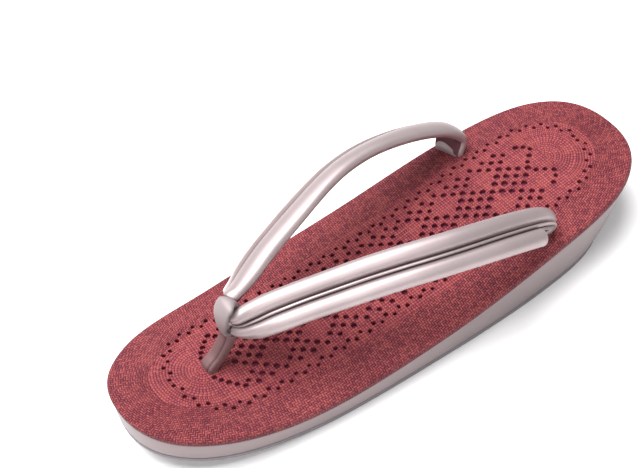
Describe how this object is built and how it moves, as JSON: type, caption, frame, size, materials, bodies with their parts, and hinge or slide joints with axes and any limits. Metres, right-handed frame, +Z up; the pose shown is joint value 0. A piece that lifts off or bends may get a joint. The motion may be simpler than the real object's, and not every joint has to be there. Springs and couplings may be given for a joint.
{
  "type": "zori sandal",
  "caption": "Low wedge zori sandal with a padded woven openwork top, a two-roll thong strap looped to a toe post, and a thin outsole.",
  "frame": {"origin": "on the floor, under the middle of the sandal's bounding box", "axes": "+Z up, +Y from the toe to the heel, X across the sandal, which is its own mirror image about X = 0"},
  "size_m": [0.0828, 0.24, 0.0591],
  "materials": {
    "outsole": "matte",
    "wedge_body": "satin",
    "insole_pad": "matte",
    "woven_cover": "satin",
    "strap": "satin",
    "toe_loop": "satin"
  },
  "bodies": {
    "root": {"outsole": "outsole", "wedge_body": "wedge_body", "insole_pad": "insole_pad", "woven_cover": "woven_cover", "strap": "strap", "toe_loop": "toe_loop"}
  },
  "joints": []
}
